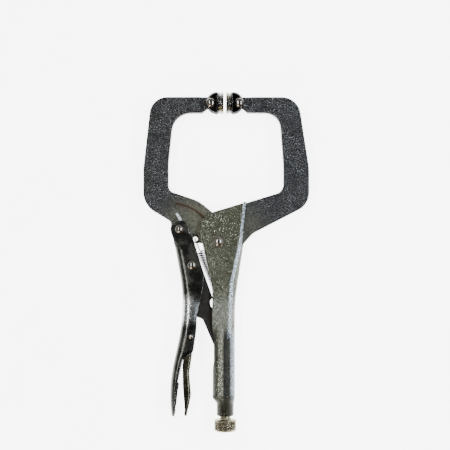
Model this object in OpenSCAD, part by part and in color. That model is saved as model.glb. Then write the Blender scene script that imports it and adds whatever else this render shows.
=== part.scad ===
// Locking C-clamp pliers with swivel pads, 280 mm long, lying flat with the jaws locked shut.
// +X points to the fixed jaw's side, +Y towards the pads, +Z up out of the surface they lie on.
// Every outline is drawn about the main pivot, and put() moves the whole tool onto its origin:
// the middle of its length and width, on the surface that it lies on.

/* [Pivots] */
// Main pivot to the lever's pivot on the movable jaw
lever_pivot = [-31.7, 10.1]; // [-40:0.1:15]
// Main pivot to the pivot that joins the lever and the toggle link
link_pivot = [-21.4, -19.3]; // [-25:0.1:-15]
// Main pivot to the small pin that the release lever turns on
release_pivot = [-22.4, -77.5]; // [-80:0.1:-20]
// Length of the toggle link from its pivot to its nose
link_length = 75.5; // [75:0.1:75.6]

/* [Jaws] */
// Thickness of the two forged jaws
jaw_t = 11; // [10.8:0.1:11]
// Left edge of the movable jaw from the main pivot
left_edge = 61.3; // [60:0.1:64]
// Right edge of the fixed jaw from the main pivot
right_edge = 74.4; // [73:0.1:78]
// Width of a finger at the pads' end
finger_w = 13; // [12:0.1:13.5]
// Radius of the movable jaw's hub round the main pivot
hub_r = 12; // [11:0.1:12.2]
// Depth of the pocket forged into each side of the movable jaw
pocket_depth = 1.3; // [0.5:0.1:2]

/* [Pads] */
// Height of the pads' centre above the main pivot
pad_y = 113.6; // [112:0.1:116]
// Distance of the gap between the pads to the right of the main pivot
pad_x = 5.4; // [5:0.1:6]
// Gap between the two pads' faces with the jaws locked shut
pad_gap = 2.1; // [2.05:0.05:2.5]
// Radius of a pad's face
pad_r = 8.9; // [8.5:0.1:9.2]
// Distance from a pad's face to its rivet
pad_reach = 10.6; // [10.5:0.1:11]

/* [Sheet metal] */
// Thickness of the steel that the handle and the hand lever are pressed from
sheet = 2.3; // [2.2:0.1:2.3]
// Outside width of the handle and of the hand lever
channel_w = 16; // [16:0.1:16.4]
// Outside radius of the bends along their backs
bend_r = 5.6; // [5:0.1:6]
// Width of the handle's closed part, from its back to its seam
tube_w = 18.5; // [18:0.1:19]

/* [Adjusting screw] */
// Outside radius of the screw's thread
screw_r = 4.9; // [4.5:0.1:5]
// Pitch of the thread
pitch = 1.5; // [1.25:0.25:1.75]
// Radius of the knob
knob_r = 9; // [8.5:0.1:10]
// Length of the knob
knob_h = 10.2; // [9:0.1:11]
// Bottom of the knob below the main pivot
knob_end = 155.8; // [155:0.1:160]

/* [Spring] */
// Outside diameter of the coil
coil_d = 6; // [5.6:0.1:6.2]
// Diameter of the wire
wire_d = 1; // [0.8:0.1:1.1]
// Turns in the coil
turns = 25; // [20:1:28]

/* [Hidden] */
$fn = 64;

// Gap in a joint that turns, and round a rivet that is pressed in
run_gap = 0.05;
eps = 0.02;
// How far one run of a pressing lies inside the next one's faces, and how far it overlaps it
skin = 0.03;
lap = 0.5;
arc_steps = 8;

half_w = channel_w / 2;
inner_w = half_w - sheet;
half_jaw = jaw_t / 2;

head_r = 4.4;
head_h = 2.2;
small_head_h = 1.8;
jaw_pin_r = 3.6;
lever_pin_r = 2.6;
link_pin_r = 2.7;
release_pin_r = 1.3;

finger_top = pad_y + 4.6;
finger_low = finger_top - finger_w;
fixed_rivet_x = pad_x + pad_gap / 2 + pad_reach;
movable_rivet_x = pad_x - pad_gap / 2 - pad_reach;

middle_x = (right_edge - left_edge) / 2;
middle_y = (pad_y + pad_r - knob_end) / 2;
lift = half_w + head_h;

module put() {
    translate([-middle_x, -middle_y, lift]) children();
}

// ---- Outlines ----

function unit(v) = v / norm(v);
function turned(v, a) = [v[0] * cos(a) - v[1] * sin(a), v[0] * sin(a) + v[1] * cos(a)];
function flat(c) = [c[0], c[1]];

// The arc that rounds the corner q, between its neighbours p and s, to radius r
function fillet(p, q, s, r) =
    let (u = unit(p - q), v = unit(s - q))
    let (half = acos(u * v) / 2)
    let (centre = q + unit(u + v) * r / sin(half))
    let (first = q + u * r / tan(half) - centre)
    let (sweep = sign(cross(-u, v)) * (180 - 2 * half))
    [for (i = [0:arc_steps]) centre + turned(first, sweep * i / arc_steps)];

// An outline from its corners, each given as x, y and the radius that rounds it
function rounded(c) = [
    for (i = [0:len(c) - 1])
        let (p = c[(i + len(c) - 1) % len(c)], q = c[i], s = c[(i + 1) % len(c)])
        each q[2] > 0 ? fillet(flat(p), flat(q), flat(s), q[2]) : [flat(q)]
];

module plate(corners, t) {
    linear_extrude(t, center = true) polygon(rounded(corners));
}

module rod(at, r, l) {
    translate([at[0], at[1], 0]) cylinder(r = r, h = l, center = true);
}

// A domed rivet head standing on z = 0
module dome(r, h) {
    ball = (r * r + h * h) / (2 * h);
    intersection() {
        translate([0, 0, h - ball]) sphere(ball);
        cylinder(r = r + 1, h = h);
    }
}

module rivet(at, r, head, h, reach) {
    rod(at, r, 2 * reach);
    for (side = [0, 1]) mirror([0, 0, side]) translate([at[0], at[1], reach]) dome(head, h);
}

// ---- Pressed channels ----

// Points of an arc that rounds a section's corner, clockwise from angle a over a quarter turn
function quarter(c, r, a) = [
    for (i = [0:arc_steps])
        let (t = a - 90 * i / arc_steps) c + r * [cos(t), sin(t)]
];

// A solid section from u = back with two rounded corners there, reaching to u = depth
module bar_section(back, depth, half, r) {
    polygon(concat(
        [[depth, -half]], quarter([back + r, r - half], r, 270), quarter([back + r, half - r], r, 180),
        [[depth, half]]
    ));
}

// The channel's section. One that runs on inside another is thinner by skin on every face.
module u_section(depth, skin) {
    difference() {
        bar_section(skin, depth, half_w - skin, bend_r - skin);
        bar_section(sheet - skin, depth + 1, inner_w + skin, bend_r - sheet + skin);
    }
}

// A section with four rounded corners, from u = back to u = front
module tube_outside(back, front, half, r) {
    polygon(concat(
        quarter([back + r, r - half], r, 270), quarter([back + r, half - r], r, 180),
        quarter([front - r, half - r], r, 90), quarter([front - r, r - half], r, 0)
    ));
}

// The closed section of the handle's grip, with the seam's gap facing the hand lever
module tube_section(skin) {
    seam_gap = 4.4;
    difference() {
        tube_outside(skin, tube_w, half_w - skin, bend_r - skin);
        tube_outside(sheet - skin, tube_w - sheet, inner_w + skin, bend_r - sheet + skin);
        translate([tube_w - 2 * sheet, -seam_gap / 2]) square([3 * sheet, seam_gap]);
    }
}

function left_of(a) = [-sin(a), cos(a)];

// A straight run of a section from p, heading in direction a, with u to the left of the heading
module straight(p, a, l) {
    translate([p[0], p[1], 0]) rotate([0, 0, a]) rotate([90, 0, 90]) linear_extrude(l) children();
}

module right_bend(p, a, r, t) {
    c = p - r * left_of(a);
    translate([c[0], c[1], 0]) rotate([0, 0, a + 90 - t]) rotate_extrude(angle = t)
        translate([r, 0]) children();
}

module left_bend(p, a, r, t) {
    c = p + r * left_of(a);
    translate([c[0], c[1], 0]) rotate([0, 0, a - 90]) rotate_extrude(angle = t)
        translate([r, 0]) mirror([1, 0]) children();
}

// ---- Fixed handle and its jaw ----

back_x = 13.6;
flare = 8.7;
flare_r = 171;
flare_y = -61.9;
tube_top = -76;
taper_y = -127.5;
collar_y = -133.3;
handle_end = -142.9;
collar_r = 7;
screw_x = 5.7;
mouth = 8.8;
jaw_exit_y = -2.05;
spring_tab = [8.96, -66];

flare_end = [back_x + flare_r * (1 - cos(flare)), flare_y + flare_r * sin(flare)];
flare_way = [sin(flare), cos(flare)];

cheek = [
    [40, tube_top, 0], [40, jaw_exit_y, 0], [20.75, jaw_exit_y, 0], [21.9, 10, 30],
    [22.9, 32.4, 1], [-18.2, 19.9, 16], [-4.9, -36.1, 60], [-4.9, tube_top, 0]
];

module handle_shell() {
    intersection() {
        union() {
            straight([back_x, tube_top], 90, flare_y + lap - tube_top) u_section(45, 0);
            right_bend([back_x, flare_y], 90, flare_r, flare) u_section(44, skin);
            straight(flare_end - lap * flare_way, 90 - flare, 80) u_section(45, 0);
        }
        plate(cheek, channel_w + 2);
    }
    straight([back_x, taper_y], 90, tube_top + lap - taper_y) tube_section(skin);
}

module along_screw(y) {
    translate([screw_x, y, 0]) rotate([-90, 0, 0]) children();
}

// The grip's end, drawn down to a round collar that is tapped for the adjusting screw
module handle_end_piece() {
    intersection() {
        straight([back_x, collar_y], 90, taper_y + lap - collar_y)
            tube_outside(0, tube_w + skin, half_w, bend_r);
        along_screw(collar_y) cylinder(r1 = collar_r, r2 = 11.6, h = taper_y + lap - collar_y);
    }
    along_screw(handle_end) cylinder(r = collar_r - skin, h = collar_y + lap - handle_end);
}

module handle() {
    color("#8b8f83") difference() {
        union() {
            handle_shell();
            handle_end_piece();
            // the tongue on the back wall that holds the spring's lower hook
            translate([spring_tab[0] - 1.4, spring_tab[1] - 0.9, -1.4]) cube([4, 1.8, 2.8]);
        }
        along_screw(handle_end - 1) cylinder(r = screw_r + run_gap, h = 30);
        // the mouth that the toggle link's nose swings in
        translate([-8, -100, -mouth / 2]) cube([12, 32, mouth]);
        rod([0, 0], jaw_pin_r + eps, channel_w + 2);
        plate(fixed_jaw_outline, jaw_t + eps);
    }
}

fixed_jaw_outline = [
    [fixed_rivet_x - 4.6, finger_top, 4.59], [fixed_rivet_x - 4.6, pad_y - 4.6, 4.59],
    [fixed_rivet_x + 2, pad_y - 4.6, 2], [fixed_rivet_x + 7, finger_low, 2],
    [50.2, finger_low, 13], [53.4, 62, 80], [53.4, 41, 8], [9, 27.4, 1], [12.8, 14, 3],
    [12.8, -15, 0], [16, -15, 0], [18.1, -2.6, 0], [20.75, -1.95, 0], [28.2, 6.5, 15],
    [right_edge, 30.3, 16], [right_edge, 60, 60], [right_edge - 9.1, finger_top, 15.5]
];

// What is machined off a finger to leave the flat tongue that a pad's yoke straddles
module tongue_cut(x) {
    shoulder_r = 9.6;
    tongue_t = 6;
    for (side = [0, 1]) mirror([0, 0, side])
        translate([x, pad_y, tongue_t / 2]) cylinder(r = shoulder_r, h = jaw_t);
}

// The eye that a pad's rivet rocks in, narrow at its waist and flared to both sides
module rocking_eye(x) {
    waist = pad_pin_r + run_gap;
    mouth = waist + 0.35;
    translate([x, pad_y, 0]) for (side = [0, 1]) mirror([0, 0, side])
        cylinder(r1 = waist, r2 = mouth, h = 3.01);
}

module fixed_jaw() {
    color("#4a4d4e") difference() {
        plate(fixed_jaw_outline, jaw_t);
        tongue_cut(fixed_rivet_x);
        rocking_eye(fixed_rivet_x);
    }
}

module jaw_rivet() {
    color("silver") rivet([0, 0], jaw_pin_r, head_r, head_h, half_w);
}

// ---- Movable jaw ----

spring_eye = [-18.9, 1.9];

movable_jaw_outline = [
    [movable_rivet_x + 4.6, finger_top, 4.59], [-left_edge + 6.6, finger_top, 14.5],
    [-left_edge, 59.5, 60], [-left_edge, 29.9, 18.5], [-38.7, 16.3, 3], [-38.7, 3.1, 6.9],
    [-27, 2.6, 8], [-21.6, -1.3, 2], [0, -1.6, 0], [8, 4, 0], [3.5, 17, 5], [-15.7, 33.1, 30],
    [-40.9, 41.5, 6], [-40.9, 64, 80], [-36.6, finger_low, 15.6],
    [movable_rivet_x - 7, finger_low, 2], [movable_rivet_x - 2, pad_y - 4.6, 2],
    [movable_rivet_x + 4.6, pad_y - 4.6, 4.59]
];

pocket_outline = [
    [-39.4, 31.2, 1], [-31, 30.4, 30], [-14.6, 21.6, 40], [-4, 10, 0], [-6, -4, 0], [-22.4, -4, 0],
    [-23.8, 9.8, 12]
];

module movable_jaw() {
    color("#6d7168") difference() {
        union() {
            difference() {
                plate(movable_jaw_outline, jaw_t);
                for (side = [0, 1]) mirror([0, 0, side])
                    translate([0, 0, half_jaw - pocket_depth + 5]) plate(pocket_outline, 10);
            }
            rod([0, 0], hub_r, jaw_t);
        }
        rod([0, 0], jaw_pin_r + run_gap, jaw_t + 2);
        rod(lever_pivot, lever_pin_r + run_gap, jaw_t + 2);
        rod(spring_eye, 1.9, jaw_t + 2);
        for (side = [0, 1]) mirror([0, 0, side])
            translate([spring_eye[0], spring_eye[1], 1.6]) cylinder(r = 4.4, h = jaw_t);
        tongue_cut(movable_rivet_x);
        rocking_eye(movable_rivet_x);
    }
}

// ---- Hand lever ----

lever_lean = 10.5;
lever_bow_at = [-31.6, -25.5];
lever_bow_r = 140;
lever_bow = 23;
lever_tail_r = 130;
lever_tail = 20.5;
lever_web_y = -1.5;
lever_depth = 24;
lever_heading = lever_lean - 90;
lever_straight = (lever_web_y - lever_bow_at[1]) / cos(lever_lean);
lever_top = lever_bow_at - lever_straight * [cos(lever_heading), sin(lever_heading)];
lever_bow_centre = lever_bow_at - lever_bow_r * left_of(lever_heading);
lever_bow_end = lever_bow_centre + lever_bow_r * left_of(lever_heading - lever_bow);
lever_mid = 17;
lever_mid_way = [cos(lever_heading - lever_bow), sin(lever_heading - lever_bow)];
lever_mid_end = lever_bow_end + lever_mid * lever_mid_way;

ear_outline = [
    [-39.1, 17.5, 7.35], [-39.1, 6.5, 8], [-36.1, -0.6, 1], [-32.5, -3.4, 0], [-19.3, -3.4, 0],
    [-24.3, 12, 6], [-24.3, 17.5, 7.35]
];

lever_wall = [
    [-60, 6, 0], [-21.9, 6, 0], [-12, -26, 18], [-12.6, -38, 30], [-17.5, -60, 16],
    [-18.1, -74, 40], [-20.6, -90.4, 3], [-28.6, -94.8, 8], [-34.6, -121, 60],
    [-36.4, -142.9, 0], [-60, -142.9, 0]
];

module lever_channel() {
    straight(lever_top, lever_heading, lever_straight + lap) u_section(lever_depth, 0);
    right_bend(lever_bow_at, lever_heading, lever_bow_r, lever_bow) u_section(lever_depth - 1, skin);
    straight(lever_bow_end - lap * lever_mid_way, lever_heading - lever_bow, lever_mid + 2 * lap)
        u_section(lever_depth, 0);
    left_bend(lever_mid_end, lever_heading - lever_bow, lever_tail_r, lever_tail)
        u_section(lever_depth - 1, skin);
}

module hand_lever() {
    color("#55585a") difference() {
        union() {
            intersection() {
                lever_channel();
                plate(lever_wall, channel_w + 2);
            }
            for (side = [-1, 1]) translate([0, 0, side * (half_w - sheet / 2)])
                plate(ear_outline, sheet - 2 * skin);
        }
        rod(lever_pivot, lever_pin_r + eps, channel_w + 2);
        rod(link_pivot, link_pin_r + eps, channel_w + 2);
        rod(release_pivot, release_pin_r + eps, channel_w + 2);
    }
}

module lever_rivet() {
    color("silver") rivet(lever_pivot, lever_pin_r, 3.55, small_head_h, half_w);
}

module link_rivet() {
    color("silver") rivet(link_pivot, link_pin_r, 3.7, small_head_h, half_w);
}

// ---- Toggle link ----

link_t = 8;
link_r = 6.9;
link_lean = 19.2;
link_way = [sin(link_lean), -cos(link_lean)];
link_side = [cos(link_lean), sin(link_lean)];

// A point of the link: s along it from its pivot and w to its right
function on_link(s, w) = link_pivot + s * link_way + w * link_side;
function link_corner(s, w, r) = [on_link(s, w)[0], on_link(s, w)[1], r];

// The pivot's end, the hollow beside the spring, the nose, and the hump that limits the toggle
link_outline = [
    link_corner(-link_r, link_r, link_r - 0.05), link_corner(31, link_r, 1.5),
    link_corner(32.4, 4.2, 2.5), link_corner(36.8, 2.9, 4), link_corner(45.5, 7.6, 6),
    link_corner(link_length, 4.7, 4.4), link_corner(link_length, -4.3, 4.2),
    link_corner(44.4, -6.5, 3), link_corner(38.4, -14.4, 4), link_corner(28, -11, 6),
    link_corner(20, -link_r, 8), link_corner(-link_r, -link_r, link_r - 0.05)
];

module toggle_link() {
    color("#3a3630") difference() {
        plate(link_outline, link_t);
        rod(link_pivot, link_pin_r + run_gap, link_t + 2);
    }
}

// ---- Release lever ----

release_w = 10.6;
release_sheet = 1.5;

release_outline = [
    [-19.4, -67.6, 1.2], [-19.8, -78, 20], [-21.9, -95, 20], [-23.8, -108, 20], [-22.2, -126, 14],
    [-25.9, -143.4, 0.8], [-27.2, -143.1, 0.6], [-29, -118, 60], [-29.3, -101, 20],
    [-26.6, -82, 10], [-24.6, -67.2, 1.5]
];

// Thumb ridges across its back, between the two levers' tails
ridge_top = [-21.35, -89.5];
ridge_step = [-0.42, -2.6];
ridges = 6;

module release_lever() {
    color("#5d5f5e") difference() {
        union() {
            difference() {
                plate(release_outline, release_w);
                translate([-release_sheet, 0, 0])
                    plate(release_outline, release_w - 2 * release_sheet);
                translate([-release_sheet - 4, 0, 0])
                    plate(release_outline, release_w - 2 * release_sheet);
            }
            for (i = [0:ridges - 1]) rod(ridge_top + i * ridge_step, 0.9, release_w);
        }
        rod(release_pivot, release_pin_r + run_gap, release_w + 2);
    }
}

module release_pin() {
    color("silver") rivet(release_pivot, release_pin_r, 1.9, 0.7, half_w);
}

// ---- Adjusting screw and knob ----

screw_tip_y = -98.6;
knob_top = knob_h - knob_end;
spigot_r = 3.9;
spigot_h = 7;
screw_l = screw_tip_y - knob_top;
neck_l = 3;
thread_depth = 0.75;
threads = floor((screw_l - neck_l - 2) / pitch);

// One groove of the thread
function thread_groove(i) = [
    [screw_r, neck_l + (i + 0.1) * pitch],
    [screw_r - thread_depth, neck_l + (i + 0.5) * pitch],
    [screw_r, neck_l + (i + 0.9) * pitch]
];

module adjusting_screw() {
    color("#b9a878") along_screw(knob_top) {
        rotate_extrude() polygon([
            [0, 0], [screw_r, 0], [screw_r, neck_l],
            for (i = [0:threads - 1]) each thread_groove(i),
            [screw_r, screw_l - 1.2], [screw_r - 1.2, screw_l], [0, screw_l]
        ]);
        translate([0, 0, -spigot_h]) cylinder(r = spigot_r, h = spigot_h + 1);
    }
}

module screw_knob() {
    rim = 1.2;
    color("#c2a85e") along_screw(-knob_end) difference() {
        rotate_extrude() polygon([
            [0, 0], [knob_r - rim, 0], [knob_r, rim], [knob_r, knob_h - rim],
            [knob_r - rim, knob_h - 0.1], [0, knob_h - 0.1]
        ]);
        translate([0, 0, knob_h - spigot_h - run_gap]) cylinder(r = spigot_r + run_gap, h = spigot_h + 1);
    }
}

// ---- Tension spring ----

spring_top = [-18.3, 0.4];
spring_lean = 22.3;
spring_way = [sin(spring_lean), -cos(spring_lean), 0];
spring_side = [cos(spring_lean), sin(spring_lean), 0];
hook_r = 2.6;
coil_start = 9;
coil_end = 57;
spring_l = norm(spring_tab - spring_top);
coil_r = (coil_d - wire_d) / 2;
steps_per_turn = 10;
wire_sides = 6;

// A point of the spring's path: s along its axis, w sideways and z up
function on_spring(s, w, z) =
    [spring_top[0], spring_top[1], z] + s * spring_way + w * spring_side;

hook_steps = 9;
upper_hook = [
    for (i = [0:hook_steps])
        let (a = 215 - i * 260 / hook_steps) on_spring(-hook_r * sin(a), 0, hook_r * cos(a))
];
lower_hook = [
    for (i = [0:hook_steps])
        let (a = -45 - i * 260 / hook_steps)
        on_spring(spring_l + hook_r * sin(a), 0, hook_r * cos(a))
];
coil_steps = turns * steps_per_turn;
coil = [
    for (i = [0:coil_steps])
        let (a = i * 360 / steps_per_turn, s = coil_start + (coil_end - coil_start) * i / coil_steps)
        on_spring(s, coil_r * sin(a), coil_r * cos(a))
];
spring_path = concat(upper_hook, coil, lower_hook);

function tangents(p) = [for (i = [0:len(p) - 1]) unit(p[min(i + 1, len(p) - 1)] - p[max(i - 1, 0)])];
function square_to(n, t) = unit(n - (n * t) * t);

// One normal for each tangent, carried along the path without twisting
function carried(t) = [
    for (i = 0, n = square_to(spring_side, t[0]); i < len(t);
         i = i + 1, n = square_to(n, t[min(i, len(t) - 1)])) n
];

module wire(p, r, sides) {
    t = tangents(p);
    n = carried(t);
    last = (len(p) - 1) * sides;
    polyhedron(
        [for (i = [0:len(p) - 1], k = [0:sides - 1])
            p[i] + r * (cos(k * 360 / sides) * n[i] + sin(k * 360 / sides) * cross(t[i], n[i]))],
        concat(
            [[for (k = [0:sides - 1]) k]],
            [for (i = [0:len(p) - 2], k = [0:sides - 1])
                let (a = i * sides + k, b = i * sides + (k + 1) % sides)
                [a, a + sides, b + sides, b]],
            [[for (k = [0:sides - 1]) last + sides - 1 - k]]
        )
    );
}

module jaw_spring() {
    color("#3c3e40") wire(spring_path, wire_d / 2, wire_sides);
}

// ---- Swivel pads, drawn about their rivet with the face towards +X ----

pad_pin_r = 2.5;
yoke_back = 5.3;
yoke_base = 1.3;
ear_in = 3.7;
ear_t = 2;
pad_head_r = 3.95;
pad_head_h = 1.9;

module put_pad(x, flip) {
    translate([x, pad_y, 0]) mirror([flip, 0, 0]) children();
}

// A disc with two grooves turned into its rim
module pad_disc() {
    x0 = yoke_back + yoke_base;
    depth = pad_reach - x0;
    color("#a9abab") rotate([0, 90, 0]) translate([0, 0, x0]) rotate_extrude() polygon([
        [0, 0], [pad_r - 0.5, 0], [pad_r - 0.3, 0.25], [pad_r - 0.3, 1], [pad_r - 1, 1.2],
        [pad_r - 1, 1.7], [pad_r - 0.2, 1.9], [pad_r, 2.15], [pad_r, depth - 0.4],
        [pad_r - 0.4, depth], [0, depth]
    ]);
}

module pad_yoke() {
    ear_ball = 9.7;
    color("#2b2c2f") difference() {
        union() {
            translate([yoke_back, 0, 0]) rotate([0, 90, 0]) cylinder(r = pad_r - 0.2, h = yoke_base);
            intersection() {
                for (side = [-1, 1]) translate([-10, -10, side * (ear_in + ear_t / 2) - ear_t / 2])
                    cube([10 + yoke_back + 0.5, 20, ear_t]);
                translate([yoke_back, 0, 0]) sphere(ear_ball);
            }
        }
        cylinder(r = pad_pin_r + run_gap, h = 20, center = true);
    }
}

module pad_rivet() {
    color("silver") rivet([0, 0], pad_pin_r, pad_head_r, pad_head_h, ear_in + ear_t + run_gap);
}

module fixed_pad_disc() { put_pad(fixed_rivet_x, 1) pad_disc(); }
module fixed_pad_yoke() { put_pad(fixed_rivet_x, 1) pad_yoke(); }
module fixed_pad_rivet() { put_pad(fixed_rivet_x, 1) pad_rivet(); }
module movable_pad_disc() { put_pad(movable_rivet_x, 0) pad_disc(); }
module movable_pad_yoke() { put_pad(movable_rivet_x, 0) pad_yoke(); }
module movable_pad_rivet() { put_pad(movable_rivet_x, 0) pad_rivet(); }

put() handle();
put() fixed_jaw();
put() jaw_rivet();
put() movable_jaw();
put() hand_lever();
put() lever_rivet();
put() link_rivet();
put() toggle_link();
put() release_lever();
put() release_pin();
put() adjusting_screw();
put() screw_knob();
put() jaw_spring();
put() fixed_pad_disc();
put() fixed_pad_yoke();
put() fixed_pad_rivet();
put() movable_pad_disc();
put() movable_pad_yoke();
put() movable_pad_rivet();
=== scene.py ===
"""Looks for the locking pliers: surfaces, formed sheet parts, the spring, the thread and the knurl."""

import math

import bmesh
import bpy
from mathutils import Matrix, Vector
from mathutils.kdtree import KDTree


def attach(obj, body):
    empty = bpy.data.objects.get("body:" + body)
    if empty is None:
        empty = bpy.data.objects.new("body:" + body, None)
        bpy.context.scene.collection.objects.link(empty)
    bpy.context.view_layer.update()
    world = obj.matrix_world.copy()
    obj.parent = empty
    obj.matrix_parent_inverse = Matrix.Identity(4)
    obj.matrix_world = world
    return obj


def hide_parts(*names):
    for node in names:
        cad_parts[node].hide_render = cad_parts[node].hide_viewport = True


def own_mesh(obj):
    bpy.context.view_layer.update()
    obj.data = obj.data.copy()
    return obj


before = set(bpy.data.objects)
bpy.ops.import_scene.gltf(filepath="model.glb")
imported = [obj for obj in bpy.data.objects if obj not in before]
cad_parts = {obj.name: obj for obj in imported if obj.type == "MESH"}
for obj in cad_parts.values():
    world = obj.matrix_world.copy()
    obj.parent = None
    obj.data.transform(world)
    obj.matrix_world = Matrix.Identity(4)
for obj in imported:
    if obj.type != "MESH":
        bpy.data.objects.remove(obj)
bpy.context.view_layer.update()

MM = 0.001
# The row's origin seen from the main pivot in millimetres. Every outline below is drawn about that pivot
ORIGIN = Vector((6.55, -16.65, -10.2))
# x of the screw's axis
SCREW_X = 5.7


def place(x, y, z=0.0):
    """A point given in millimetres about the main pivot, in the row frame in metres."""
    return (Vector((x, y, z)) - ORIGIN) * MM


# ---------------------------------------------------------------- node materials


class Nodes:
    """A material's node tree with short calls for the nodes used here."""

    def __init__(self, name):
        self.material = bpy.data.materials.new(name)
        self.material.use_nodes = True
        self.tree = self.material.node_tree
        self.tree.nodes.clear()
        self.out = self.tree.nodes.new("ShaderNodeOutputMaterial")
        self.shader = self.tree.nodes.new("ShaderNodeBsdfPrincipled")
        self.tree.links.new(self.shader.outputs[0], self.out.inputs[0])
        self.coords = self.tree.nodes.new("ShaderNodeTexCoord").outputs["Object"]

    def node(self, kind, **values):
        made = self.tree.nodes.new(kind)
        for key, value in values.items():
            setattr(made, key, value)
        return made

    def feed(self, made, **sockets):
        for key, value in sockets.items():
            socket = made.inputs[key.replace("_", " ")]
            if isinstance(value, bpy.types.NodeSocket):
                self.tree.links.new(value, socket)
            else:
                socket.default_value = value
        return made

    def noise(self, size_mm, detail=3.0, rough=0.6, coords=None):
        made = self.node("ShaderNodeTexNoise")
        self.feed(made, Vector=coords or self.coords, Scale=1.0 / (size_mm * MM), Detail=detail,
                  Roughness=rough)
        return made.outputs["Fac"]

    def stretched(self, x, y, z):
        made = self.node("ShaderNodeMapping")
        self.feed(made, Vector=self.coords, Scale=(x, y, z))
        return made.outputs[0]

    def remap(self, value, low, high, to_low=0.0, to_high=1.0):
        made = self.node("ShaderNodeMapRange", clamp=True, interpolation_type="SMOOTHSTEP")
        for i, number in enumerate((low, high, to_low, to_high), start=1):
            made.inputs[i].default_value = number
        self.tree.links.new(value, made.inputs[0])
        return made.outputs[0]

    def mix(self, factor, a, b):
        made = self.node("ShaderNodeMix", data_type="RGBA")
        for socket, value in ((made.inputs[0], factor), (made.inputs[6], a), (made.inputs[7], b)):
            if isinstance(value, bpy.types.NodeSocket):
                self.tree.links.new(value, socket)
            elif isinstance(value, (int, float)):
                socket.default_value = value
            else:
                socket.default_value = (*value, 1.0)
        return made.outputs[2]

    def math(self, operation, a, b=0.0):
        made = self.node("ShaderNodeMath", operation=operation)
        for socket, value in zip(made.inputs, (a, b)):
            if isinstance(value, bpy.types.NodeSocket):
                self.tree.links.new(value, socket)
            else:
                socket.default_value = value
        return made.outputs[0]

    def near(self, x, y, inner_mm, outer_mm):
        """1 within inner_mm of an upright line through x, y, falling to 0 at outer_mm, and the distance."""
        flat = self.node("ShaderNodeVectorMath", operation="MULTIPLY")
        self.tree.links.new(self.coords, flat.inputs[0])
        flat.inputs[1].default_value = (1, 1, 0)
        far = self.node("ShaderNodeVectorMath", operation="DISTANCE")
        self.tree.links.new(flat.outputs[0], far.inputs[0])
        at = place(x, y)
        far.inputs[1].default_value = (at.x, at.y, 0)
        return self.remap(far.outputs["Value"], inner_mm * MM, outer_mm * MM, 1.0, 0.0), far.outputs["Value"]

    def along_axis(self, x, y, way):
        """Distance in metres along the unit vector way from an upright line through x, y."""
        dot = self.node("ShaderNodeVectorMath", operation="DOT_PRODUCT")
        self.tree.links.new(self.coords, dot.inputs[0])
        dot.inputs[1].default_value = (way[0], way[1], 0)
        at = place(x, y)
        return self.math("SUBTRACT", dot.outputs["Value"], at.x * way[0] + at.y * way[1])

    def edge(self, radius_mm):
        """The rounded normal at edges, and how far it turns from the true one."""
        bevel = self.node("ShaderNodeBevel", samples=6)
        bevel.inputs["Radius"].default_value = radius_mm * MM
        flat = self.node("ShaderNodeNewGeometry").outputs["Normal"]
        dot = self.node("ShaderNodeVectorMath", operation="DOT_PRODUCT")
        self.tree.links.new(bevel.outputs[0], dot.inputs[0])
        self.tree.links.new(flat, dot.inputs[1])
        return bevel.outputs[0], self.remap(dot.outputs["Value"], 0.995, 0.86)

    def bump(self, height, strength, distance_mm, normal=None):
        made = self.node("ShaderNodeBump")
        self.feed(made, Height=height, Strength=strength, Distance=distance_mm * MM)
        if normal is not None:
            self.feed(made, Normal=normal)
        return made.outputs[0]

    def finish(self, color, metallic, roughness, normal, **more):
        self.feed(self.shader, Base_Color=color, Metallic=metallic, Roughness=roughness, Normal=normal)
        if more:
            self.feed(self.shader, **more)
        return self.material


PLATING_CENTRE = (-4, -2, 5)
PLATING_FULL, PLATING_GONE = 0.026, 0.058


def speckled_steel(name, dark, mid, light, tint, grain_mm, shine, rough, edge_mm=0.5, depth=1.0,
                   plating=None, painted_light_and_tones=None):
    """Forged or tumbled plated steel: coarse grains that catch the light, blotches, and edges worn brighter.

    plating is a paler colour that the surface takes on near the main pivot. The last argument, a function of
    (nodes, color, grains), adds one piece's painted highlights, painted shade and other tones.
    """
    n = Nodes(name)
    grains = n.noise(grain_mm, 4.0, 0.75)
    fine = n.noise(grain_mm * 0.5, 2.0, 0.6)
    blotch = n.noise(9.0, 3.0, 0.55)
    color = n.mix(n.remap(grains, 0.4, 0.6), dark, mid)
    color = n.mix(n.remap(fine, 0.52, 0.68), color, light)
    color = n.mix(n.remap(blotch, 0.42, 0.68, 0.0, 0.5), color, tint)
    if plating:
        far = n.node("ShaderNodeVectorMath", operation="DISTANCE")
        n.tree.links.new(n.coords, far.inputs[0])
        far.inputs[1].default_value = tuple(place(*PLATING_CENTRE))
        near = n.remap(far.outputs["Value"], PLATING_FULL, PLATING_GONE, 0.85, 0.0)
        color = n.mix(n.math("MULTIPLY", near, n.remap(grains, 0.3, 0.6, 0.35, 1.0)), color, plating)
    normal, worn = n.edge(edge_mm)
    color = n.mix(n.math("MULTIPLY", worn, 0.4), color, light)
    # one piece's painted highlights, painted shade and other tones
    if painted_light_and_tones:
        color = painted_light_and_tones(n, color, grains)
    height = n.math("ADD", grains, n.math("MULTIPLY", fine, 0.4))
    bump = n.bump(height, 1.0, 0.8 * depth, normal)
    roughness = n.remap(fine, 0.35, 0.7, rough + 0.12, rough - 0.1)
    return n.finish(color, shine, roughness, bump)


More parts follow.
